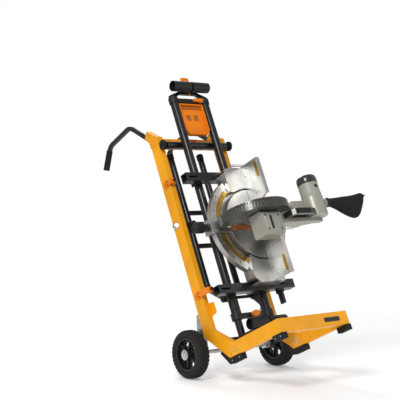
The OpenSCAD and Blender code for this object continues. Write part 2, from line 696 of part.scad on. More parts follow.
slot_w = 14;
module turntable() color(alloy) saw() difference() {
  union() {
    rotate_extrude() polygon([[0, -35.5], [table_r, -35.5], [table_r, -1], [table_r - 1, 0], [0, 0]]);
    plate_yz(-34, 34, [[-150, -20], [-150, 0], [-250, 0], [-284, -8], [-284, -62], [-262, -62], [-262, -21]]);
    // rear bevel bearing
    box([-34, 150, -35.5], [34, 186, 0]);
    bar_y(36, 184, 205, 0, 0);
  }
  box([-slot_w, -224, -70], [slot_w, 14, 1]);
  box([-32, -168, -3.2], [32, 52, 1]);
  bar_y(12 + run, -300, -262, 0, -36);
  bar_y(9 + run, 180, 210, 0, 0);
}

module kerf_plates() color([0.72, 0.32, 0.08]) saw() for (s = [-1, 1]) scale_x(s) difference() {
  box([4.5, -167.8, -3.1], [31.8, 51.8, -0.1]);
  for (y = [-150, -60, 34]) bar_z(2.5, -4, 1, 24, y);
}

module mitre_knob() color(black) saw() {
  bar_y(12, -290, -268, 0, -36);
  bar_y(19, -304, -284 - gap, 0, -36);
  translate([0, -304, -36]) rotate([90, 0, 0]) {
    cylinder(r1 = 19, r2 = 24, h = 10);
    translate([0, 0, 10]) cylinder(r = 24, h = 44);
    translate([0, 0, 54]) cylinder(r1 = 24, r2 = 19, h = 8);
    for (i = [0:7]) rotate(45 * i) translate([23, 0, 12]) cylinder(r = 3, h = 40);
  }
}

module bevel_arm() color(alloy) saw() difference() {
  union() {
    bar_y(36, 205 + gap, 232, 0, 0);
    bar_y(9, 184, 206, 0, 0);
    plate_yz(-26, 26, [[205 + gap, 10], [205 + gap, 60], [196, 86], [196, 104], [238, 104], [240, 60],
      [232, 24], [232, 10]]);
    for (s = [-1, 1]) scale_x(s) {
      plate_yz(30.5, 42, [[206, 30], [196, 86], [chop_y - 23, chop_z], [chop_y + 23, chop_z], [240, 60], [232, 30]]);
      bar_x(24, 30.5, 42, chop_y, chop_z);
      box([25, 206, 30], [31, 238, 90]);
    }
  }
  bar_x(10 + run, -60, 60, chop_y, chop_z);
  bar_x(26, -30.5, 30.5, chop_y, chop_z);
  bar_y(6 + run, 222, 240, 0, 0);
}

module bevel_lever() color(steel) saw() {
  bar_y(6, 224, 236, 0, 0);
  bar_y(15, 232 + gap, 246, 0, 0);
  box([-62, 236, -5], [0, 244, 5]);
  bar_y(8, 234, 248, -62, 0);
}

module head_body() color(putty) saw() {
  // hinge lug and pin
  bar_x(21, -29.5, 29.5, chop_y, chop_z);
  bar_x(10, -50, 50, chop_y, chop_z);
  // arm from the motor boss to the blade cover
  difference() {
    union() {
      plate_yz(32, 78, [[-70, 134], [-70, 188], [40, 200], [190, 206], [240, 198], [240, 174],
        [190, 168], [130, 140]]);
      plate_yz(-29, 33, [[70, 168], [70, 196], [190, 204], [238, 196], [238, 173], [190, 167.5]]);
      plate_yz(-29, 29, [[chop_y - 19, chop_z - 4], [184, 170], [184, 180], [238, 180], [chop_y + 20, chop_z]]);
      bar_x(boss_r, -30, 64, motor_y, motor_z);
      plate_xz(-170, -50, [[26, 134], [26, 212], [36, 222], [130, 222], [140, 212], [140, 142], [132, 134]]);
      bar_x(40, 33, 66, blade_y, blade_z + 40);
      bar_x(30, upper_w + 0.5, 56, blade_y, blade_z);
      translate([-9, 232, 193]) rotate([-66, 0, 0]) cylinder(r = 19, h = 67);
    }
    box([44, -130, 218], [112, -112, 223]);
    bar_x(8 + run, 15, 50, blade_y, blade_z);
    // the dust duct, through the spout and into the motor boss
    translate([-9, 232, 193]) rotate([-66, 0, 0]) translate([0, 0, -12]) cylinder(r = 15, h = 90);
  }
}

module motor() color(putty) saw() difference() {
  union() {
    bar_x(motor_d / 2, motor_x1, motor_x0, motor_y, motor_z);
    bar_x(motor_d / 2 - 2, motor_x2 + 10, motor_x1 - 3, motor_y, motor_z);
    translate([motor_x2, motor_y, motor_z]) rotate([0, 90, 0]) cylinder(r1 = motor_d / 2 - 10, r2 = motor_d / 2 - 2, h = 10);
    bar_x(motor_d / 2 - 5, motor_x1 - 4, motor_x1 + 1, motor_y, motor_z);
  }
  for (a = [0:30:330]) translate([motor_x2 - 1, motor_y, motor_z]) rotate([a, 0, 0])
    translate([0, 18, -1.5]) cube([6, 12, 3]);
}

module head_handle() color([0.12, 0.12, 0.11]) saw() difference() {
  plate_yz(33, 61, [[-6, 197], [4, 244], [16, 258], [34, 264], [112, 264], [150, 256], [150, 206], [60, 201.2]]);
  plate_yz(32, 62, [[14, 210], [20, 236], [28, 243], [112, 243], [118, 238], [118, 213]]);
  bar_x(boss_r + gap / 3, 0, 66, motor_y, motor_z);
  plate_yz(32, 62, [[-80, 120], [-70, 188.1], [40, 200.1], [190, 206.1], [190, 120]]);
  box([38, 36, 240], [56, 84, 252]);
}

module trigger() color(orange) saw() plate_yz(39, 55, [[38, 247], [82, 247], [82, 240], [70, 236], [38, 233]]);

module blade_at() saw() translate([0, blade_y, blade_z]) rotate([90, 0, 90]) children();
// u-section guard shell swept about the blade axis
module guard_shell(r, ri, w, t, a0, a1) rotate(a0) rotate_extrude(angle = a1 - a0) {
  translate([r - t, -w]) square([t, 2 * w]);
  for (s = [-1, 1]) translate([ri, s > 0 ? w - t : -w]) square([r - ri, t]);
}

module upper_guard() color(putty) blade_at() {
  guard_shell(upper_r, 34, upper_w, 3, -2, 177);
  difference() {
    union() {
      for (z = [upper_w - 3.6, -upper_w - 0.4]) translate([0, 0, z]) cylinder(r = 38, h = 4);
    }
    cylinder(r = 9, h = 80, center = true);
  }
}

module lower_guard() color(smoke) blade_at() difference() {
  union() {
    guard_shell(guard_r, 46, lower_w, 3, 36, 215);
    for (s = [-1, 1]) scale([1, 1, s]) translate([0, 0, lower_w - 3.4]) difference() {
      cylinder(r = 52, h = 4);
      translate([0, 0, -1]) cylinder(r = 40 + gap, h = 6);
    }
  }
  for (a = [68:5:208]) rotate(a) translate([guard_r - 10, -2.2, -15]) cube([12, 4.4, 30]);
}

module saw_blade() color(steel) blade_at() {
  difference() {
    translate([0, 0, -1.2]) cylinder(r = blade_r, h = 2.4);
    for (i = [0:39]) rotate(9 * i) translate([blade_r - 7, 0, -2]) cube([9, 4, 4]);
  }
  translate([0, 0, -6]) cylinder(r = 26, h = 12);
  translate([0, 0, -12.8]) hex(12, 12.8);
  cylinder(r = 8, h = 44);
}

// a limp pouch: neck, far corner and a corner that hangs below
module dust_bag() color(black) saw() difference() {
  hull() {
    translate([-9, 282, 215]) rotate([-66, 0, 0]) cylinder(r = 21, h = 14, $fn = 32);
    translate([-14, bag_y, bag_z]) rotate([0, 90, 0]) cylinder(r = bag_end_r, h = 10, $fn = 32);
    translate([98, bag_y - 106, bag_z - 20]) sphere(r = bag_end_r + 1, $fn = 20);
  }
  // the neck slips over the spout
  translate([-9, 232, 193]) rotate([-66, 0, 0]) cylinder(r = 19 + run, h = 68, $fn = 32);
}

// ---- draw ----
translate([-mid_x, -mid_y, 0]) {
  side_frame();
  toe_bar();
  head_bar();
  tie_tube();
  slide_bar();
  slide_caps();
  pivot_shaft();
  rubber_feet();
  axle();
  axle_brackets();
  tyre_near();
  rim_near();
  tyre_far();
  rim_far();
  hub_caps();
  handle_sockets();
  handle_tubes();
  handle_grips();
  latches();
  latch_pins();
  latch_plates();
  release_tab();
  leg_tubes();
  leg_hooks();
  leg_bars();
  leg_extension();
  leg_feet();
  rails();
  rail_end_low();
  rail_end_top();
  tray();
  extension_top();
  roller_top();
  knob_top();
  lever_top();
  extension_low();
  roller_low();
  knob_low();
  saw_mounts();
  clamp_upper();
  clamp_lower();
  saw_base();
  mitre_scale();
  fence_left();
  fence_right();
  fence_strips();
  side_rod();
  turntable();
  kerf_plates();
  mitre_knob();
  bevel_arm();
  bevel_lever();
  head_body();
  motor();
  head_handle();
  trigger();
  upper_guard();
  lower_guard();
  saw_blade();
  dust_bag();
}
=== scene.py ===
# %% [markdown]
# # A mitre saw on its folding stand
# The frame of this lesson is a imported CAD model: every tube, wheel and casting is already there, at its
# real size, as a mesh that stays in place. Blender adds what CAD leaves out: paint, rubber, fabric,
# screws, rivets, tyre tread and weld beads. We load the model first, because every later position is
# read from it.

import math

import bmesh
import bpy
from mathutils import Matrix, Vector
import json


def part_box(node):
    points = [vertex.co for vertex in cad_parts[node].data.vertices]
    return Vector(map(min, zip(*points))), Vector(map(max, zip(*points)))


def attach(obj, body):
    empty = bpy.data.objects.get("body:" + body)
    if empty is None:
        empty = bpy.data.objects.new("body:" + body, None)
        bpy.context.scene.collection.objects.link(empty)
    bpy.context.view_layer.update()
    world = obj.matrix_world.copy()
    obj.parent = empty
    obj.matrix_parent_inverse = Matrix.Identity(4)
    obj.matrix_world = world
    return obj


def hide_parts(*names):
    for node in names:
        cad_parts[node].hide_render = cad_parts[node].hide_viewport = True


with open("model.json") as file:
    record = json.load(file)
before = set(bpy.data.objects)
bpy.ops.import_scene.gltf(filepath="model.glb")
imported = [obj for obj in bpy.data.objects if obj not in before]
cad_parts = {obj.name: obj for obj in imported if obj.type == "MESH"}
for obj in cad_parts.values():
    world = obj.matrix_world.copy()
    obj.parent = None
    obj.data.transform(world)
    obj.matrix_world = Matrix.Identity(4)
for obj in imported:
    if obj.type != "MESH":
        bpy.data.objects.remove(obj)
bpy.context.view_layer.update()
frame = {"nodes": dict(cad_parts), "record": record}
NODES = frame["nodes"]

# %% [markdown]
# ## Where things are
# The stand was drawn in millimetres with the floor at zero and the front face of the side tubes at y = 0.
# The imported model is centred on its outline, so we need that shift once. The side frame gives it: its
# left and right sides are the same distance from the drawing's middle, and its back face is 65 mm back.

# %% Drawing millimetres to metres in the frame
MM = 0.001
side_low, side_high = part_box("side_frame")
MID_X = -(side_low.x + side_high.x) / 2
MID_Y = 0.065 - side_high.y
HALF_W = (side_high.x - side_low.x) / 2 / MM
SAW = Vector((75.0, -200.0, 635.0))


def at(x, y, z):
    """A point of the drawing, in millimetres, as a place in the frame, in metres."""
    return Vector((x * MM - MID_X, y * MM - MID_Y, z * MM))


def at_saw(x, y, z):
    """The same for the saw's own drawing: x to its right, y to its back, z up from its table."""
    return at(SAW.x + y, SAW.y - z, SAW.z - x)


def turn_saw(x, y, z):
    """A direction of the saw's drawing as a direction in the frame."""
    return Vector((y, -z, -x))


print("middle of the outline:", round(MID_X, 4), round(MID_Y, 4), "half width:", round(HALF_W, 1))

# %% [markdown]
# ## Camera
# The stand is pushed along like a sack truck, so we see it leaning back on its wheels. The model itself
# stands upright, and a camera can't lean a model. Instead the whole studio leans the other way: camera,
# floor and lights are placed in a level room, and one function turns that room into the frame.

# %% The leaning room
LEAN = math.radians(25.0)
AXLE_HEIGHT = 0.1143
AXLE_Y = 0.125
room_up = Vector((0, -math.sin(LEAN), math.cos(LEAN)))
room_back = Vector((0, math.cos(LEAN), math.sin(LEAN)))
room_right = Vector((1, 0, 0))
wheel_centre = at(0, AXLE_Y / MM, AXLE_HEIGHT / MM)


def in_room(x, y, z):
    """A point of the level room, whose origin is on the floor under the axle, as a place in the frame."""
    return wheel_centre + room_right * x + room_back * y + room_up * (z - AXLE_HEIGHT)


def room_direction(x, y, z):
    return room_right * x + room_back * y + room_up * z


def look(obj, place, forward, up):
    """Puts a camera or light at place, facing forward."""
    back = -forward.normalized()
    right = up.cross(back).normalized()
    true_up = back.cross(right)
    turned = Matrix((right, true_up, back)).transposed().to_4x4()
    obj.matrix_world = Matrix.Translation(place) @ turned


# %% Camera
VIEW_SIDE = math.radians(-41.05)
VIEW_DISTANCE = 5.079
VIEW_HEIGHT = 0.9475
VIEW_YAW = math.radians(1.917)
VIEW_PITCH = math.radians(-1.253)
camera_data = bpy.data.cameras.new("Camera")
camera_data.lens = 94.1
camera_data.sensor_width = 36.0
camera_data.clip_start = 0.05
camera_data.clip_end = 60
camera = bpy.data.objects.new("Camera", camera_data)
bpy.context.scene.collection.objects.link(camera)
bpy.context.scene.camera = camera
heading = VIEW_SIDE + VIEW_YAW
look(
    camera,
    in_room(math.sin(VIEW_SIDE) * VIEW_DISTANCE, -math.cos(VIEW_SIDE) * VIEW_DISTANCE, VIEW_HEIGHT),
    room_direction(
        -math.sin(heading) * math.cos(VIEW_PITCH), math.cos(heading) * math.cos(VIEW_PITCH), math.sin(VIEW_PITCH)
    ),
    room_up,
)
print("camera at", [round(v, 3) for v in camera.matrix_world.translation])

# %% [markdown]
# ## Studio
# A pale floor, a pale sky and three broad soft lights. The floor fades out with distance, so that it has
# no hard edge, and it is clear from below, so that it never hides the stand from behind. The floor is not
# part of the object.

# %% Node helpers
def add_node(tree, kind, **settings):
    node = tree.nodes.new(kind)
    for key, value in settings.items():
        setattr(node, key, value)
    return node


def start_material(name):
    """A new material with its shader and output already joined. Returns the material, tree and shader."""
    material = bpy.data.materials.new(name)
    material.use_nodes = True
    tree = material.node_tree
    return material, tree, tree.nodes["Principled BSDF"]


def ramp(tree, source, stops):
    """A colour ramp fed by source. Stops are (place, colour) pairs."""
    node = add_node(tree, "ShaderNodeValToRGB")
    while len(node.color_ramp.elements) < len(stops):
        node.color_ramp.elements.new(0.5)
    for element, (place, colour) in zip(node.color_ramp.elements, stops):
        element.position = place
        element.color = (*colour, 1)
    tree.links.new(source, node.inputs["Fac"])
    return node.outputs["Color"]


def spread(tree, source, low, high, out_low, out_high):
    node = add_node(tree, "ShaderNodeMapRange")
    node.inputs["From Min"].default_value = low
    node.inputs["From Max"].default_value = high
    node.inputs["To Min"].default_value = out_low
    node.inputs["To Max"].default_value = out_high
    tree.links.new(source, node.inputs["Value"])
    return node.outputs["Result"]


# %% Floor
def floor_finish():
    material, tree, shader = start_material("studio_floor")
    shader.inputs["Base Color"].default_value = (0.9, 0.9, 0.9, 1)
    shader.inputs["Emission Color"].default_value = (1, 1, 1, 1)
    shader.inputs["Emission Strength"].default_value = 0.2
    shader.inputs["Roughness"].default_value = 0.75
    coords = add_node(tree, "ShaderNodeTexCoord")
    offset = add_node(tree, "ShaderNodeVectorMath", operation="SUBTRACT")
    offset.inputs[1].default_value = tuple(in_room(0, 0, 0))
    length = add_node(tree, "ShaderNodeVectorMath", operation="LENGTH")
    tree.links.new(coords.outputs["Object"], offset.inputs[0])
    tree.links.new(offset.outputs["Vector"], length.inputs[0])
    shown = spread(tree, length.outputs["Value"], 1.2, 2.6, 1.0, 0.0)
    side = add_node(tree, "ShaderNodeNewGeometry")
    front = add_node(tree, "ShaderNodeMath", operation="SUBTRACT")
    front.inputs[0].default_value = 1.0
    tree.links.new(side.outputs["Backfacing"], front.inputs[1])
    both = add_node(tree, "ShaderNodeMath", operation="MULTIPLY")
    tree.links.new(shown, both.inputs[0])
    tree.links.new(front.outputs["Value"], both.inputs[1])
    tree.links.new(both.outputs["Value"], shader.inputs["Alpha"])
    return material


floor_mesh = bpy.data.meshes.new("floor")
floor_mesh.from_pydata(
    [in_room(x, y, 0) for x, y in ((-3, -3), (3, -3), (3, 3), (-3, 3))], [], [(0, 1, 2, 3)]
)
floor = bpy.data.objects.new("floor", floor_mesh)
bpy.context.scene.collection.objects.link(floor)
floor_mesh.materials.append(floor_finish())

# %% Lights and sky
world = bpy.data.worlds.new("studio")
bpy.context.scene.world = world
world.use_nodes = True
sky_tree = world.node_tree
sky_light = sky_tree.nodes["Background"]
sky_light.inputs["Color"].default_value = (1, 1, 1, 1)
sky_light.inputs["Strength"].default_value = 0.5
backdrop = add_node(sky_tree, "ShaderNodeBackground")
backdrop.inputs["Color"].default_value = (1, 1, 1, 1)
backdrop.inputs["Strength"].default_value = 1.0
ray_kind = add_node(sky_tree, "ShaderNodeLightPath")
sky_mix = add_node(sky_tree, "ShaderNodeMixShader")
sky_tree.links.new(ray_kind.outputs["Is Camera Ray"], sky_mix.inputs["Fac"])
sky_tree.links.new(sky_light.outputs["Background"], sky_mix.inputs[1])
sky_tree.links.new(backdrop.outputs["Background"], sky_mix.inputs[2])
sky_tree.links.new(sky_mix.outputs["Shader"], sky_tree.nodes["World Output"].inputs["Surface"])
bpy.context.scene.view_settings.view_transform = "Standard"


def soft_light(name, place, target, size, power):
    data = bpy.data.lights.new(name, "AREA")
    data.shape = "DISK"
    data.size = size
    data.energy = power
    light = bpy.data.objects.new(name, data)
    bpy.context.scene.collection.objects.link(light)
    spot, goal = in_room(*place), in_room(*target)
    look(light, spot, goal - spot, room_back)
    return light


soft_light("key_light", (-2.6, -1.6, 3.0), (0, 0, 0.6), 1.2, 78)
soft_light("fill_light", (2.4, -2.8, 1.6), (0.1, -0.1, 0.6), 2.0, 12)
soft_light("back_light", (0.8, 2.4, 2.8), (0, 0, 0.8), 1.4, 40)

# %% [markdown]
# ## Paint, plastic and rubber
# Most of the stand is one of a few simple coatings, and they differ in colour, gloss and grain. One
# function makes them all. A large noise shifts the colour a little, as uneven coats and handling do, a
# fine noise makes the surface grain, and a rounded-edge normal gives the crisp corners a soft highlight.
# The same rounded normal, compared with the true one, finds the edges, where coatings rub lighter.

# %% Coated finishes
def coated(name, colour, worn, rough, grain, depth, metallic=0.0, coat=0.0, shine=0.5, edge=0.0008, wear=0.35, patch=6.0):
    material, tree, shader = start_material(name)
    coords = add_node(tree, "ShaderNodeTexCoord")
    patches = add_node(tree, "ShaderNodeTexNoise")
    patches.inputs["Scale"].default_value = patch
    patches.inputs["Detail"].default_value = 5
    tree.links.new(coords.outputs["Object"], patches.inputs["Vector"])
    dark = tuple(c * 0.82 for c in colour)
    light = tuple(min(1.0, c * 1.1 + 0.004) for c in colour)
    base = ramp(tree, patches.outputs["Fac"], [(0.3, dark), (0.7, light)])
    rounded = add_node(tree, "ShaderNodeBevel", samples=4)
    rounded.inputs["Radius"].default_value = edge
    true_normal = add_node(tree, "ShaderNodeNewGeometry")
    match = add_node(tree, "ShaderNodeVectorMath", operation="DOT_PRODUCT")
    tree.links.new(rounded.outputs["Normal"], match.inputs[0])
    tree.links.new(true_normal.outputs["Normal"], match.inputs[1])
    rubbed = spread(tree, match.outputs["Value"], 0.99, 0.8, 0.0, wear)
    mixed = add_node(tree, "ShaderNodeMix", data_type="RGBA")
    mixed.inputs["B"].default_value = (*worn, 1)
    tree.links.new(rubbed, mixed.inputs["Factor"])
    tree.links.new(base, mixed.inputs["A"])
    tree.links.new(mixed.outputs["Result"], shader.inputs["Base Color"])
    tree.links.new(
        spread(tree, patches.outputs["Fac"], 0.3, 0.7, max(0.05, rough - 0.07), rough + 0.07),
        shader.inputs["Roughness"],
    )
    fine = add_node(tree, "ShaderNodeTexNoise")
    fine.inputs["Scale"].default_value = grain
    fine.inputs["Detail"].default_value = 3
    tree.links.new(coords.outputs["Object"], fine.inputs["Vector"])
    bump = add_node(tree, "ShaderNodeBump")
    bump.inputs["Strength"].default_value = 0.6
    bump.inputs["Distance"].default_value = depth
    tree.links.new(fine.outputs["Fac"], bump.inputs["Height"])
    tree.links.new(rounded.outputs["Normal"], bump.inputs["Normal"])
    tree.links.new(bump.outputs["Normal"], shader.inputs["Normal"])
    shader.inputs["Metallic"].default_value = metallic
    shader.inputs["Specular IOR Level"].default_value = shine
    shader.inputs["Coat Weight"].default_value = coat
    shader.inputs["Coat Roughness"].default_value = 0.12
    return material


FINISHES = {
    "orange_paint": coated(
        "orange_paint", (0.93, 0.385, 0.004), (1.0, 0.58, 0.08), 0.42, 900, 0.00006, coat=0.08, shine=0.22
    ),
    "black_paint": coated("black_paint", (0.008, 0.008, 0.009), (0.07, 0.07, 0.07), 0.3, 700, 0.00005, coat=0.1, shine=0.35),
    "black_steel": coated("black_steel", (0.01, 0.01, 0.011), (0.1, 0.1, 0.1), 0.4, 700, 0.00006, shine=0.35),
    "cast_alloy_black": coated(
        "cast_alloy_black", (0.012, 0.012, 0.013), (0.09, 0.09, 0.09), 0.46, 420, 0.00014, shine=0.35
    ),
    "black_plastic": coated("black_plastic", (0.01, 0.01, 0.01), (0.04, 0.04, 0.04), 0.42, 1100, 0.0001, shine=0.35),
    "orange_plastic": coated("orange_plastic", (0.84, 0.225, 0.004), (1.0, 0.42, 0.05), 0.42, 1000, 0.00006, shine=0.25),
    "rubber": coated("rubber", (0.01, 0.01, 0.01), (0.04, 0.04, 0.04), 0.66, 1300, 0.00014, shine=0.3),
    "putty_plastic": coated("putty_plastic", (0.375, 0.37, 0.315), (0.5, 0.49, 0.43), 0.42, 1200, 0.00007),
    "putty_alloy": coated(
        "putty_alloy", (0.37, 0.36, 0.305), (0.52, 0.5, 0.45), 0.36, 900, 0.00008, metallic=0.25, coat=0.2
    ),
    "handle_plastic": coated("handle_plastic", (0.02, 0.02, 0.018), (0.06, 0.06, 0.05), 0.25, 900, 0.00004, coat=0.4),
    "smoke_plastic": coated("smoke_plastic", (0.045, 0.044, 0.037), (0.12, 0.12, 0.1), 0.26, 900, 0.00004, coat=0.3),
    "kerf_plastic": coated("kerf_plastic", (0.52, 0.165, 0.025), (0.6, 0.25, 0.06), 0.55, 900, 0.00008),
}
print("coated finishes:", len(FINISHES))

# %% [markdown]
# ## Bare metals
# The saw's fences and base are cast alloy with milled faces, the axle is zinc plated and the pivot is
# plated bright. They share one recipe: fully metallic, with streaks that run one way. Stretching the
# noise's coordinates along one axis makes the streaks, as a milling cutter or a brush does.

# %% Metal finishes
def metal(name, colour, dull, rough, stretch, depth, grain=220, edge=0.0008):
    material, tree, shader = start_material(name)
    coords = add_node(tree, "ShaderNodeTexCoord")
    mapping = add_node(tree, "ShaderNodeMapping")
    mapping.inputs["Scale"].default_value = stretch
    tree.links.new(coords.outputs["Object"], mapping.inputs["Vector"])
    streaks = add_node(tree, "ShaderNodeTexNoise")
    streaks.inputs["Scale"].default_value = grain
    streaks.inputs["Detail"].default_value = 4
    tree.links.new(mapping.outputs["Vector"], streaks.inputs["Vector"])
    stains = add_node(tree, "ShaderNodeTexNoise")
    stains.inputs["Scale"].default_value = 9
    stains.inputs["Detail"].default_value = 6
    tree.links.new(coords.outputs["Object"], stains.inputs["Vector"])
    base = ramp(tree, stains.outputs["Fac"], [(0.35, dull), (0.62, colour)])
    tree.links.new(base, shader.inputs["Base Color"])
    tree.links.new(spread(tree, streaks.outputs["Fac"], 0.3, 0.7, rough - 0.08, rough + 0.1), shader.inputs["Roughness"])
    rounded = add_node(tree, "ShaderNodeBevel", samples=4)
    rounded.inputs["Radius"].default_value = edge
    bump = add_node(tree, "ShaderNodeBump")
    bump.inputs["Strength"].default_value = 0.5
    bump.inputs["Distance"].default_value = depth
    tree.links.new(streaks.outputs["Fac"], bump.inputs["Height"])
    tree.links.new(rounded.outputs["Normal"], bump.inputs["Normal"])
    tree.links.new(bump.outputs["Normal"], shader.inputs["Normal"])
    shader.inputs["Metallic"].default_value = 1.0
    return material


FINISHES["cast_alloy"] = metal("cast_alloy", (0.62, 0.62, 0.605), (0.38, 0.38, 0.365), 0.36, (1, 1, 6), 0.00008)
FINISHES["steel"] = metal("steel", (0.62, 0.62, 0.63), (0.42, 0.42, 0.43), 0.34, (1, 1, 1), 0.00005, 500)
FINISHES["chrome"] = metal("chrome", (0.82, 0.82, 0.83), (0.7, 0.7, 0.71), 0.16, (1, 1, 1), 0.00001, 300)
FINISHES["brass"] = metal("brass", (0.5, 0.31, 0.05), (0.32, 0.19, 0.03), 0.42, (1, 1, 1), 0.00003, 600)

# %% [markdown]
# ## Tyre rubber and bag cloth
# A tyre is duller and dustier than other rubber. The bag is a dense plain weave: two sets of fine waves,
# one along and one across, multiplied together give the over and under of the yarns.

# %% Tyre and cloth finishes
FINISHES["tyre"] = coated(
    "tyre", (0.014, 0.014, 0.013), (0.06, 0.058, 0.054), 0.8, 500, 0.0003, shine=0.3, wear=0.5, edge=0.0012, patch=25
)


def bag_cloth():
    material, tree, shader = start_material("bag_fabric")
    coords = add_node(tree, "ShaderNodeUVMap", uv_map="cloth")
    yarns = []
    for direction in ("X", "Y"):
        wave = add_node(tree, "ShaderNodeTexWave", wave_type="BANDS", bands_direction=direction)
        wave.inputs["Scale"].default_value = 120
        wave.inputs["Distortion"].default_value = 0.6
        wave.inputs["Detail"].default_value = 1
        tree.links.new(coords.outputs["UV"], wave.inputs["Vector"])
        yarns.append(wave.outputs["Fac"])
    weave = add_node(tree, "ShaderNodeMath", operation="MULTIPLY")
    tree.links.new(yarns[0], weave.inputs[0])
    tree.links.new(yarns[1], weave.inputs[1])
    tree.links.new(
        ramp(tree, weave.outputs["Value"], [(0.1, (0.006, 0.006, 0.007)), (0.9, (0.022, 0.022, 0.024))]),
        shader.inputs["Base Color"],
    )
    bump = add_node(tree, "ShaderNodeBump")
    bump.inputs["Strength"].default_value = 0.5
    bump.inputs["Distance"].default_value = 0.0003
    tree.links.new(weave.outputs["Value"], bump.inputs["Height"])
    tree.links.new(bump.outputs["Normal"], shader.inputs["Normal"])
    shader.inputs["Roughness"].default_value = 0.85
    shader.inputs["Sheen Weight"].default_value = 0.08
    shader.inputs["Specular IOR Level"].default_value = 0.25
    return material


FINISHES["bag_fabric"] = bag_cloth()

# %% [markdown]
# ## Dress the CAD nodes
# The record says which finish each node has, so the finishes above, named after its slots, can be handed
# out in one loop. Nodes that get a modelled replacement later keep their finish too: they are only hidden.

# %% Hand out the finishes
SLOT_OF = {row["node"]: row["material_slot"] for row in frame["record"]["subparts"]}
for node_name, node_object in NODES.items():
    node_object.data.materials.clear()
    node_object.data.materials.append(FINISHES[SLOT_OF[node_name]])
print("dressed:", len(SLOT_OF), "nodes in", len(FINISHES), "finishes")

# %% [markdown]
# ## Making a piece
# Every piece below ends the same way: a mesh with its place in its own points, an object at the origin,
# a finish, smooth or flat faces, and the CAD body that it rides on. One function does those steps.

# %% From a mesh to a riding piece
def add_piece(name, mesh, body, slot_name, finish=None, smooth_angle=35, bevel=0.0, segments=2):
    mesh.name = name
    obj = bpy.data.objects.new(name, mesh)
    bpy.context.scene.collection.objects.link(obj)
    if not mesh.materials:
        mesh.materials.append(finish or FINISHES[slot_name])
    if bevel:
        rounding = obj.modifiers.new("rounding", "BEVEL")
        rounding.width = bevel
        rounding.segments = segments
        rounding.limit_method = "ANGLE"
        rounding.angle_limit = math.radians(30)
    mesh.shade_smooth()
    mesh.set_sharp_from_angle(angle=math.radians(smooth_angle))
    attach(obj, body)
    return obj


def mesh_of(verts, faces):
    mesh = bpy.data.meshes.new("shape")
    mesh.from_pydata([tuple(v) for v in verts], [], faces)
    work = bmesh.new()
    work.from_mesh(mesh)
    bmesh.ops.remove_doubles(work, verts=work.verts, dist=1e-6)
    bmesh.ops.recalc_face_normals(work, faces=work.faces)
    work.to_mesh(mesh)
    work.free()
    return mesh


def rings_to_faces(count, around, closed_ends=True):
    """Faces that join rings of points, one ring after the next, with a flat cap at each end."""
    faces = []
    for ring in range(count - 1):
        for i in range(around):
            j = (i + 1) % around
            a, b = ring * around, (ring + 1) * around
            faces.append((a + i, a + j, b + j, b + i))
    if closed_ends:
        faces.append(tuple(range(around)))
        faces.append(tuple(reversed(range((count - 1) * around, count * around))))
    return faces


def lathe(profile, centre, axis, around=48, loop=False):
    """A turned shape: profile is (distance along the axis, radius) in metres from centre."""
    axis = axis.normalized()
    side = axis.orthogonal().normalized()
    other = axis.cross(side)
    verts = []
    for along, radius in profile:
        for i in range(around):
            turn = 2 * math.pi * i / around
            verts.append(centre + axis * along + (side * math.cos(turn) + other * math.sin(turn)) * radius)
    faces = rings_to_faces(len(profile), around, not loop)
    if loop:
        last = (len(profile) - 1) * around
        faces += [(last + i, last + (i + 1) % around, (i + 1) % around, i) for i in range(around)]
    return mesh_of(verts, faces)


def slab(outline, lift):
    """A flat plate: outline is a list of corners, lift the vector of its thickness."""
    count = len(outline)
    verts = list(outline) + [p + lift for p in outline]
    return mesh_of(verts, rings_to_faces(2, count))


print("piece helpers ready")

# %% [markdown]
# ## One tree for everything that repeats
# Rivets, screws, tread blocks, grip rings, scale marks and weld beads are all small shapes placed many
# times. A Geometry Nodes tree does that: points in, a copy of a small shape on each point, turned by two
# directions stored on the points, then made real and given its material. The tree's inputs are the size
# and how round the shape is, and a new object stores the result as a plain mesh.

# %% Small shapes, built inside the tree
def unit_dome(tree, rounding):
    ball = add_node(tree, "GeometryNodeMeshUVSphere")
    ball.inputs["Radius"].default_value = 1.0
    ball.inputs["Rings"].default_value = 6
    tree.links.new(rounding, ball.inputs["Segments"])
    return ball.outputs["Mesh"]


def unit_disc(tree, rounding):
    disc = add_node(tree, "GeometryNodeMeshCylinder")
    disc.inputs["Radius"].default_value = 1.0
    disc.inputs["Depth"].default_value = 1.0
    tree.links.new(rounding, disc.inputs["Vertices"])
    return disc.outputs["Mesh"]


def unit_block(tree, rounding):
    block = add_node(tree, "GeometryNodeMeshCube")
    block.inputs["Size"].default_value = (1, 1, 1)
    return block.outputs["Mesh"]


def unit_bolt(tree, rounding):
    parts = add_node(tree, "GeometryNodeJoinGeometry")
    for radius, depth, corners in ((1.0, 0.35, 20), (0.72, 1.0, 6)):
        layer = add_node(tree, "GeometryNodeMeshCylinder")
        layer.inputs["Radius"].default_value = radius
        layer.inputs["Depth"].default_value = depth
        layer.inputs["Vertices"].default_value = corners
        raised = add_node(tree, "GeometryNodeTransform")
        raised.inputs["Translation"].default_value = (0, 0, depth / 2)
        tree.links.new(layer.outputs["Mesh"], raised.inputs["Geometry"])
        tree.links.new(raised.outputs["Geometry"], parts.inputs["Geometry"])
    return parts.outputs["Geometry"]


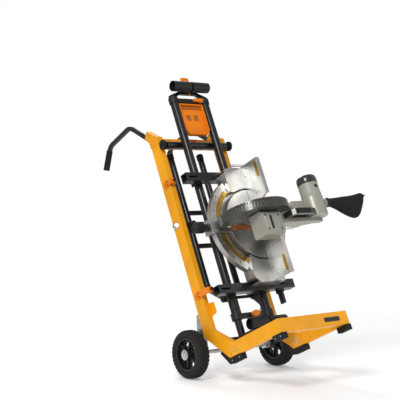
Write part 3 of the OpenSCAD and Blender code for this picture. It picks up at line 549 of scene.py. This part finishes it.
# %% The repeating tree
def repeating_tree(name, shape, finish):
    tree = bpy.data.node_groups.new(name, "GeometryNodeTree")
    tree.interface.new_socket("Points", in_out="INPUT", socket_type="NodeSocketGeometry")
    tree.interface.new_socket("Size", in_out="INPUT", socket_type="NodeSocketVector")
    tree.interface.new_socket("Roundness", in_out="INPUT", socket_type="NodeSocketInt")
    tree.interface.new_socket("Geometry", in_out="OUTPUT", socket_type="NodeSocketGeometry")
    entry = add_node(tree, "NodeGroupInput")
    leave = add_node(tree, "NodeGroupOutput")
    turned = None
    for attribute, axis, pivot in (("facing", "Z", "AUTO"), ("along", "X", "Z")):
        stored = add_node(tree, "GeometryNodeInputNamedAttribute", data_type="FLOAT_VECTOR")
        stored.inputs["Name"].default_value = attribute
        align = add_node(tree, "FunctionNodeAlignRotationToVector", axis=axis, pivot_axis=pivot)
        tree.links.new(stored.outputs["Attribute"], align.inputs["Vector"])
        if turned:
            tree.links.new(turned, align.inputs["Rotation"])
        turned = align.outputs["Rotation"]
    copies = add_node(tree, "GeometryNodeInstanceOnPoints")
    tree.links.new(entry.outputs["Points"], copies.inputs["Points"])
    tree.links.new(shape(tree, entry.outputs["Roundness"]), copies.inputs["Instance"])
    tree.links.new(turned, copies.inputs["Rotation"])
    tree.links.new(entry.outputs["Size"], copies.inputs["Scale"])
    real = add_node(tree, "GeometryNodeRealizeInstances")
    paint = add_node(tree, "GeometryNodeSetMaterial")
    paint.inputs["Material"].default_value = finish
    tree.links.new(copies.outputs["Instances"], real.inputs["Geometry"])
    tree.links.new(real.outputs["Geometry"], paint.inputs["Geometry"])
    tree.links.new(paint.outputs["Geometry"], leave.inputs["Geometry"])
    return tree


def repeat(name, shape, spots, size, body, slot_name, finish=None, roundness=16):
    """Copies shape to every spot, a (place, facing, along) triple. Size is in millimetres."""
    mesh = bpy.data.meshes.new(name)
    mesh.from_pydata([tuple(s[0]) for s in spots], [], [])
    for index, attribute in ((1, "facing"), (2, "along")):
        layer = mesh.attributes.new(attribute, "FLOAT_VECTOR", "POINT")
        layer.data.foreach_set("vector", [c for s in spots for c in s[index]])
    source = bpy.data.objects.new(name + "_points", mesh)
    bpy.context.scene.collection.objects.link(source)
    tree = repeating_tree(name, shape, finish or FINISHES[slot_name])
    modifier = source.modifiers.new("repeat", "NODES")
    modifier.node_group = tree
    sockets = {item.name: item.identifier for item in tree.interface.items_tree if item.in_out == "INPUT"}
    modifier[sockets["Size"]] = [v * MM for v in size]
    modifier[sockets["Roundness"]] = roundness
    depsgraph = bpy.context.evaluated_depsgraph_get()
    result = bpy.data.meshes.new_from_object(source.evaluated_get(depsgraph))
    bpy.data.objects.remove(source)
    print(name, "copies:", len(spots), "faces:", len(result.polygons))
    return add_piece(name, result, body, slot_name)


X_AXIS, Y_AXIS, Z_AXIS = Vector((1, 0, 0)), Vector((0, 1, 0)), Vector((0, 0, 1))

# %% [markdown]
# ## Tyres
# The tyres are moulded with a block tread: a centre row, two staggered rows and shoulder lugs. The
# carcass is turned on a lathe just below the tread, with raised rings on its walls, and the blocks are
# copied round it. Together they stand for the plain CAD tyre.

# %% Tyre carcass and tread
TYRE_RADIUS = 0.1143
TREAD_STEPS = 34
carcass_profile = [
    (-0.0205, 0.0798), (-0.0275, 0.083), (-0.031, 0.0875), (-0.0315, 0.0885), (-0.0325, 0.089), (-0.0326, 0.0925),
    (-0.0315, 0.0935), (-0.031, 0.099), (-0.029, 0.1035), (-0.0245, 0.1075), (-0.016, 0.1102), (0.0, 0.1112),
]
carcass_profile += [(-a, r) for a, r in reversed(carcass_profile[:-1])]


def tread_spots(centre):
    spots = []
    for step in range(TREAD_STEPS):
        for row, half_step, tip in ((0.0, 0.0, 0.1122), (-11.5, 0.5, 0.1118), (11.5, 0.5, 0.1118)):
            turn = 2 * math.pi * (step + half_step) / TREAD_STEPS
            out = Vector((0, math.cos(turn), math.sin(turn)))
            skew = (X_AXIS + X_AXIS.cross(out) * (0.35 if row >= 0 else -0.35)).normalized()
            spots.append((centre + X_AXIS * row * MM + out * tip, out, skew))
    return spots


def lug_spots(centre):
    spots = []
    for step in range(TREAD_STEPS):
        turn = 2 * math.pi * (step + 0.25) / TREAD_STEPS
        for side in (-1, 1):
            out = Vector((0, math.cos(turn), math.sin(turn)))
            lean = (out + X_AXIS * side * 0.75).normalized()
            spots.append((centre + X_AXIS * side * 0.0245 + out * 0.1068, lean, (X_AXIS * side - out * 0.75).normalized()))
    return spots


for side, wheel in ((-1, "near"), (1, "far")):
    low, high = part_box("tyre_" + wheel)
    centre = (low + high) / 2
    carcass = add_piece("tyre_carcass_" + wheel, lathe(carcass_profile, centre, X_AXIS, 96, loop=True), "wheel_" + wheel, "tyre")
    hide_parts("tyre_" + wheel)
    repeat("tread_blocks_" + wheel, unit_block, tread_spots(centre), (9.6, 12.5, 4.0), "wheel_" + wheel, "tyre")
    repeat("tread_lugs_" + wheel, unit_block, lug_spots(centre), (10.5, 11.0, 4.5), "wheel_" + wheel, "tyre")
print("tyre centre:", [round(v, 3) for v in centre])

# %% [markdown]
# ## Rivets, bolts and screws
# Fasteners catch small bright highlights that the eye expects on a tool. Rivets hold the toe gussets,
# hex bolts hold the axle brackets, and screws hold the saw's covers. Each list gives places on a face
# and the direction that the face looks.

# %% Frame fasteners
IN_W = HALF_W - 28
GUSSET = [(-103, 72), (-119, 64), (-108, 52), (-124, 44), (-90, 60), (-138, 46), (-92, 40)]
gusset_rivets = []
for side in (-1, 1):
    for y, z in GUSSET:
        gusset_rivets.append((at(side * HALF_W, y, z), X_AXIS * side, Y_AXIS))
        gusset_rivets.append((at(side * (IN_W - 4), y, z), X_AXIS * -side, Y_AXIS))
repeat("gusset_rivets", unit_dome, gusset_rivets, (4.2, 4.2, 1.9), "cart", "steel", roundness=14)

bracket_bolts = []
for side in (-1, 1):
    for y, z in ((77, 262), (79, 214)):
        bracket_bolts.append((at(side * HALF_W, y, z), X_AXIS * side, Y_AXIS))
repeat("bracket_bolts", unit_bolt, bracket_bolts, (7.0, 7.0, 5.0), "cart", "steel")

toe_screws = [
    (at(side * (HALF_W + 3), y, 13), X_AXIS * side, Y_AXIS) for side in (-1, 1) for y in (-436, -400, -140, -85)
]
repeat("foot_screws", unit_dome, toe_screws, (3.6, 3.6, 1.6), "cart", "steel", roundness=14)

# %% Saw fasteners
SAW_UP, SAW_RIGHT, SAW_BACK = turn_saw(0, 0, 1), turn_saw(1, 0, 0), turn_saw(0, 1, 0)
fence_screws = []
for side in (-1, 1):
    for x, z in ((275, 40), (237, 20), (136, 60), (283, 85)):
        fence_screws.append((at_saw(side * x, 0.2, z), -SAW_BACK, SAW_RIGHT))
repeat("fence_screws", unit_dome, fence_screws, (3.4, 3.4, 1.4), "carriage", "black_steel", roundness=14)
foot_bolts = [(at_saw(side * 251, 91, -54), SAW_UP, SAW_RIGHT) for side in (-1, 1)]
repeat("foot_bolts", unit_bolt, foot_bolts, (10.0, 10.0, 8.0), "carriage", "black_steel")
plate_screws = [(at_saw(side * 24, y, -0.2), SAW_UP, SAW_RIGHT) for side in (-1, 1) for y in (-150, -60, 34)]
repeat("kerf_plate_screws", unit_dome, plate_screws, (3.6, 3.6, 1.2), "table", "steel", roundness=14)

# %% [markdown]
# ## Weld beads
# The side tubes are cut, bent and welded at two places, and the toe bar is welded in. A weld is a row of
# small overlapping puddles, so flat domes a few millimetres apart along the seam read as one.

# %% Welds on the frame
def seam(start, end, facing, pitch=3.0):
    length = (end - start).length
    count = max(2, int(length / (pitch * MM)))
    along = (end - start).normalized()
    return [(start.lerp(end, i / count), facing, along) for i in range(count + 1)]


welds = []
TUBE_SEAMS = [((64, 171), (2, 185)), ((-73, 29), (-117, 88))]
for side in (-1, 1):
    for face, normal in ((HALF_W, 1), (IN_W, -1)):
        for (y0, z0), (y1, z1) in TUBE_SEAMS:
            welds += seam(at(side * face, y0, z0), at(side * face, y1, z1), X_AXIS * side * normal)
    welds += seam(at(side * IN_W, 0, 186), at(side * HALF_W, 0, 186), -Y_AXIS)
    welds += seam(at(side * IN_W, -118, 90), at(side * HALF_W, -118, 90), Z_AXIS)
    welds += seam(at(side * IN_W, -446, 29), at(side * IN_W, -446, 89), -Y_AXIS)
    welds += seam(at(side * IN_W, -444, 90), at(side * IN_W, -418, 90), Z_AXIS)
    welds += seam(at(side * IN_W, 4, 1148), at(side * IN_W, 4, 1186), -Y_AXIS)
repeat("frame_welds", unit_dome, welds, (2.6, 2.2, 0.9), "cart", "orange_paint", roundness=8)

# %% [markdown]
# ## Grips
# The two push grips are soft rubber with moulded rings. Thin discs along the grip's own axis, a little
# wider than the sleeve, make the rings. The axis comes from the far ends of the grip's own box.

# %% Grip rings
GRIP_DROP = math.radians(-48)
grip_axis = Vector((0, math.cos(GRIP_DROP), math.sin(GRIP_DROP)))
grip_low, grip_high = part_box("handle_grips")
grip_end = Vector((0, grip_high.y - 0.017 * math.cos(math.radians(42)), grip_low.z + 0.017 * math.sin(math.radians(42))))
ring_spots = []
for side in (-1, 1):
    for i in range(13):
        place = grip_end - grip_axis * (0.014 + i * 0.0066)
        place.x = side * (HALF_W - 14) * MM - MID_X
        ring_spots.append((place, grip_axis, X_AXIS))
repeat("grip_rings", unit_disc, ring_spots, (16.6, 16.6, 3.4), "cart", "rubber", roundness=32)

# %% [markdown]
# ## Dust bag
# The empty bag is tied to the spout by a gathered neck, runs out to a far corner and hangs down on one
# side. It is one thin shell, lofted through rings that go from round to a flat oval, with folds that
# start at the neck and fade out. Solidify gives the cloth its thickness, and a raised row of short
# stitches follows the lower seam.

# %% Bag shell
BAG_RINGS, BAG_AROUND = 30, 56
NECK = at_saw(-9, 286, 217)
BAG_END = at_saw(-9, 480, 296)
BAG_HANG = at_saw(98, 360, 262)
bag_axis = (BAG_END - NECK).normalized()
hang_arm = BAG_HANG - NECK
bag_wide = (hang_arm - bag_axis * hang_arm.dot(bag_axis)).normalized()
bag_thick = bag_axis.cross(bag_wide)
BAG_LENGTH = (BAG_END - NECK).length


def ease(t):
    return t * t * (3 - 2 * t)


def bag_point(t, turn):
    """A point of the bag: t goes from the neck to the far corner, turn goes round it."""
    top_edge = 0.0195 - 0.004 * math.sin(math.pi * t)
    drop = 0.098 * math.sin(math.pi * min(1.0, t / 0.97)) ** 1.3 * (0.55 + 0.75 * t)
    close = (1 - ease(max(0.0, (t - 0.88) / 0.12))) * 0.93 + 0.07
    low_edge = (0.0195 - 0.006 * t + drop) * close
    top_edge *= close
    wide = (top_edge + low_edge) / 2
    shift = (low_edge - top_edge) / 2
    thick = (0.0195 - 0.006 * ease(t)) * (0.25 + 0.75 * close)
    folds = math.sin(turn * 7 + 1.3 * math.sin(3 * t)) * 0.08 * (1 - t) * min(1.0, t * 6)
    creases = math.sin(turn * 3 + t * 11) * 0.07 * min(1.0, t * 3)
    puff = 1 + folds + creases
    c, s = math.cos(turn), math.sin(turn)
    return (
        NECK + bag_axis * BAG_LENGTH * t
        + bag_wide * (shift + c * wide * (1 + 0.3 * (puff - 1)))
        + bag_thick * s * thick * puff
    )


bag_verts = [
    bag_point(ring / (BAG_RINGS - 1), 2 * math.pi * i / BAG_AROUND) for ring in range(BAG_RINGS) for i in range(BAG_AROUND)
]
bag_mesh = bpy.data.meshes.new("bag")
bag_mesh.from_pydata([tuple(v) for v in bag_verts], [], rings_to_faces(BAG_RINGS, BAG_AROUND, closed_ends=False))
cloth_map = bag_mesh.uv_layers.new(name="cloth")
for polygon in bag_mesh.polygons:
    start = min(v % BAG_AROUND for v in polygon.vertices)
    for loop in polygon.loop_indices:
        vertex = bag_mesh.loops[loop].vertex_index
        column = vertex % BAG_AROUND
        if start == 0 and column == BAG_AROUND - 1 and 1 not in [v % BAG_AROUND for v in polygon.vertices]:
            column = -1
        cloth_map.data[loop].uv = (column / BAG_AROUND * 0.9, vertex // BAG_AROUND / BAG_RINGS * 0.9)
print("bag length (mm):", round(BAG_LENGTH / MM), "rings:", BAG_RINGS)

# %% Bag with cloth thickness, seam and collar
bag_mesh.materials.append(FINISHES["bag_fabric"])
bag = add_piece("dust_bag_cloth", bag_mesh, "head", "bag_fabric", smooth_angle=60)
cloth_wall = bag.modifiers.new("cloth_wall", "SOLIDIFY")
cloth_wall.thickness = 0.0012
cloth_wall.offset = -1
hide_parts("dust_bag")

stitches = []
for i in range(64):
    t = 0.1 + 0.86 * i / 63
    ahead = (bag_point(t + 0.01, 0) - bag_point(t, 0)).normalized()
    stitches.append((bag_point(t, 0), bag_thick.cross(ahead), ahead))
repeat("bag_stitches", unit_block, stitches, (2.2, 0.8, 0.8), "head", "bag_fabric", FINISHES["black_plastic"])

collar_profile = [(-0.001, 0.0196), (-0.001, 0.0222), (0.001, 0.0232), (0.011, 0.0232), (0.013, 0.0222), (0.013, 0.0196)]
add_piece("bag_collar", lathe(collar_profile, NECK - bag_axis * 0.004, bag_axis, 48, loop=True), "head", "black_plastic")

# %% [markdown]
# ## Motor end cap
# The motor's housing ends in a dark cap with cooling ribs round its shoulder. The cap is turned on the
# lathe with a domed end, and its ribs are small blocks copied round the edge.

# %% Motor cap
MOTOR_CENTRE = at_saw(0, 195, 215)
motor_out = turn_saw(-1, 0, 0)
cap_profile = [
    (0.1025, 0.0440), (0.1025, 0.0488), (0.1045, 0.0496), (0.1300, 0.0488), (0.1385, 0.0465), (0.1440, 0.0410),
    (0.1455, 0.0320), (0.1455, 0.0200), (0.1440, 0.0180), (0.1440, 0.0010),
]
add_piece("motor_cap", lathe(cap_profile, MOTOR_CENTRE, motor_out, 64), "head", "handle_plastic")
cap_ribs, vent_shade_spots = [], []
motor_side = motor_out.orthogonal().normalized()
for i in range(28):
    out = Matrix.Rotation(2 * math.pi * i / 28, 3, motor_out) @ motor_side
    cap_ribs.append((MOTOR_CENTRE + motor_out * 0.119 + out * 0.0492, out, motor_out))
# Painted shade: darker blocks on the cap's end stand in for the shade inside its vent slots.
for i in range(14):
    out = Matrix.Rotation(2 * math.pi * i / 14, 3, motor_out) @ motor_side
    vent_shade_spots.append((MOTOR_CENTRE + motor_out * 0.1452 + out * 0.0260, motor_out, out))
repeat("motor_cap_ribs", unit_block, cap_ribs, (22, 2.6, 1.8), "head", "handle_plastic")
repeat("motor_vent_shade_blocks", unit_block, vent_shade_spots, (7.0, 2.2, 1.6), "head", "black_plastic")
band_profile = [(0.042, 0.0492), (0.0435, 0.0502), (0.050, 0.0502), (0.0515, 0.0492)]
add_piece("motor_band", lathe(band_profile, MOTOR_CENTRE, motor_out, 64, loop=True), "head", "putty_plastic")
brush_caps = [(MOTOR_CENTRE + motor_out * 0.080 + side * 0.0492, side, motor_out) for side in (SAW_UP, -SAW_UP)]
repeat("brush_caps", unit_disc, brush_caps, (8.5, 8.5, 3.0), "head", "black_plastic", roundness=28)

# %% [markdown]
# ## Saw head cover
# The blade's cover is a cast and painted box with a raised, rounded plate and a long sunk handle slot.
# The plate is a slab with its corners cut, and a bevel modifier rounds every edge. The slot is shown by a
# dark inlay that stands a hair above the plate: the dark is painted shade for the sunk slot's depth.

# %% Cover plate and inlay of painted shade
def cut_corner_outline(x0, x1, y0, y1, z, cut):
    corners = [
        (x0 + cut, y0), (x1 - cut, y0), (x1, y0 + cut), (x1, y1 - cut),
        (x1 - cut, y1), (x0 + cut, y1), (x0, y1 - cut), (x0, y0 + cut),
    ]
    return [at_saw(x, y, z) for x, y in corners]


add_piece(
    "cover_plate", slab(cut_corner_outline(38, 128, -159, -61, 219, 16), SAW_UP * 0.006), "head", "putty_alloy",
    bevel=0.0028, segments=3,
)
# Painted shade: the dark slot inlay stands in for the shade inside the sunk slot.
add_piece(
    "cover_slot", slab(cut_corner_outline(46, 120, -130, -114, 222, 7), SAW_UP * 0.0034), "head", "black_plastic",
    bevel=0.0008,
)
add_piece(
    "cover_slot_lip", slab(cut_corner_outline(42, 124, -134, -110, 222, 9), SAW_UP * 0.0031), "head", "putty_alloy",
    bevel=0.001,
)
cover_screw_tops = [(at_saw(x, y, 225), SAW_UP, SAW_RIGHT) for x in (50, 116) for y in (-150, -70)]
repeat("cover_plate_screws", unit_bolt, cover_screw_tops, (4.4, 4.4, 2.4), "head", "black_steel")

# %% [markdown]
# ## Scales
# The mitre scale has a mark at every degree and a longer one at every five. Each mark is a thin black
# block that stands a tenth of a millimetre proud, pointing to the middle of the turntable. The brass
# strips on the fences carry plain marks too. No digits are drawn.

# %% Scale marks
minor, major = [], []
for degree in range(-55, 56):
    a = math.radians(degree - 90)
    out = turn_saw(math.cos(a), math.sin(a), 0)
    radius = 218 if degree % 5 else 215
    place = at_saw(radius * math.cos(a), radius * math.sin(a), -27)
    (minor if degree % 5 else major).append((place, SAW_UP, out))
repeat("mitre_scale_minor", unit_block, minor, (6.5, 0.7, 0.24), "carriage", "brass", FINISHES["black_plastic"])
repeat("mitre_scale_major", unit_block, major, (12.0, 1.1, 0.28), "carriage", "brass", FINISHES["black_plastic"])

strip_marks = []
for side in (-1, 1):
    for i in range(15):
        place = at_saw(side * (297 - 19 - i * 4.7), -0.62, 110.5 if i % 5 else 108.5)
        strip_marks.append((place, -SAW_BACK, SAW_UP))
repeat("fence_strip_marks", unit_block, strip_marks, (8.0, 0.8, 0.2), "carriage", "brass", FINISHES["black_plastic"])
strip_dots = [(at_saw(side * 290, -0.3, 108), -SAW_BACK, SAW_UP) for side in (-1, 1)]
repeat("fence_strip_dots", unit_dome, strip_dots, (3.6, 3.6, 0.9), "carriage", "orange_plastic", roundness=18)

# %% [markdown]
# ## Tray
# The tray between the rails is moulded plastic with a band along its top and two pockets with ribs, all
# painted darker as painted shade. The pockets take inlays that sit in the CAD recesses, and the ribs are copied in
# rows.

# %% Tray inlays in painted shade
# Painted shade: a burnt orange for the shaded recesses of the tray's band, pockets and ribs.
PAINTED_SHADE_ORANGE = coated("painted_shade_orange", (0.42, 0.12, 0.008), (0.8, 0.3, 0.05), 0.45, 1000, 0.00008)
tray_low, tray_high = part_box("tray")
tray_face = tray_low.y
band_top = tray_high.z - 0.008
band = [
    Vector((-0.070 - MID_X, tray_face + 0.0165, band_top - 0.016)), Vector((0.070 - MID_X, tray_face + 0.0165, band_top - 0.016)),
    Vector((0.070 - MID_X, tray_face + 0.0165, band_top)), Vector((-0.070 - MID_X, tray_face + 0.0165, band_top)),
]
# The darker band is painted shade in the recess along the tray's top.
add_piece("tray_shade_band", slab(band, Y_AXIS * -0.004), "rail_frame", "orange_plastic", PAINTED_SHADE_ORANGE, bevel=0.0008)
pocket_ribs = []
for x in (-38, 8):
    for row in range(5):
        pocket_ribs.append((at(x + 15, 0, 1271.5 + row * 6.2), -Y_AXIS, X_AXIS))
    corner = [at(x + 0.4, 0, 1265.4), at(x + 29.6, 0, 1265.4), at(x + 29.6, 0, 1296.6), at(x + 0.4, 0, 1296.6)]
    for p in corner:
        p.y = tray_face + 0.0195
    add_piece(
        "tray_pocket_" + ("near" if x < 0 else "far"), slab(corner, Y_AXIS * -0.0022), "rail_frame", "orange_plastic",
        PAINTED_SHADE_ORANGE, bevel=0.0004,
    )
for spot in pocket_ribs:
    spot[0].y = tray_face + 0.0170
repeat("tray_pocket_ribs", unit_block, pocket_ribs, (25, 2.0, 1.4), "rail_frame", "orange_plastic", PAINTED_SHADE_ORANGE)

# %% [markdown]
# ## Toe bar plate and latch details
# A blank dark plate sits on the toe bar. Small details on the latches and the handle hardware are turned
# or copied in the same ways as before.

# %% Small trim
plate_outline = [at(62, -446, 47), at(160, -446, 47), at(160, -446, 68), at(62, -446, 68)]
add_piece("toe_plate", slab(plate_outline, Y_AXIS * -0.0008), "cart", "black_plastic", bevel=0.0003)
latch_screws = []
for z in (946, 366):
    for dz in (-9, 9):
        latch_screws.append((at(-HALF_W - 9, 9, z + dz), -X_AXIS, Z_AXIS))
repeat("latch_screws", unit_bolt, latch_screws, (3.6, 3.6, 2.4), "cart", "black_steel")

# %% Knob ribs and handle pads
def ribs_round(centre, axis, radius, count, along_axis):
    side = axis.orthogonal().normalized()
    spots = []
    for i in range(count):
        out = Matrix.Rotation(2 * math.pi * i / count, 3, axis) @ side
        spots.append((centre + out * radius + axis * along_axis, out, axis))
    return spots


knob_centre = at_saw(0, -304, -36)
repeat(
    "mitre_knob_ribs", unit_block, ribs_round(knob_centre, turn_saw(0, -1, 0), 0.0241, 24, 0.032), (40, 2.2, 1.6),
    "mitre_grip", "black_plastic",
)
pad_ribs = [(at_saw(47, 22 + i * 6.0, 264.2), SAW_UP, SAW_RIGHT) for i in range(15)]
repeat("saw_handle_ribs", unit_block, pad_ribs, (22, 3.0, 1.2), "head", "rubber")

# %% Close
import json
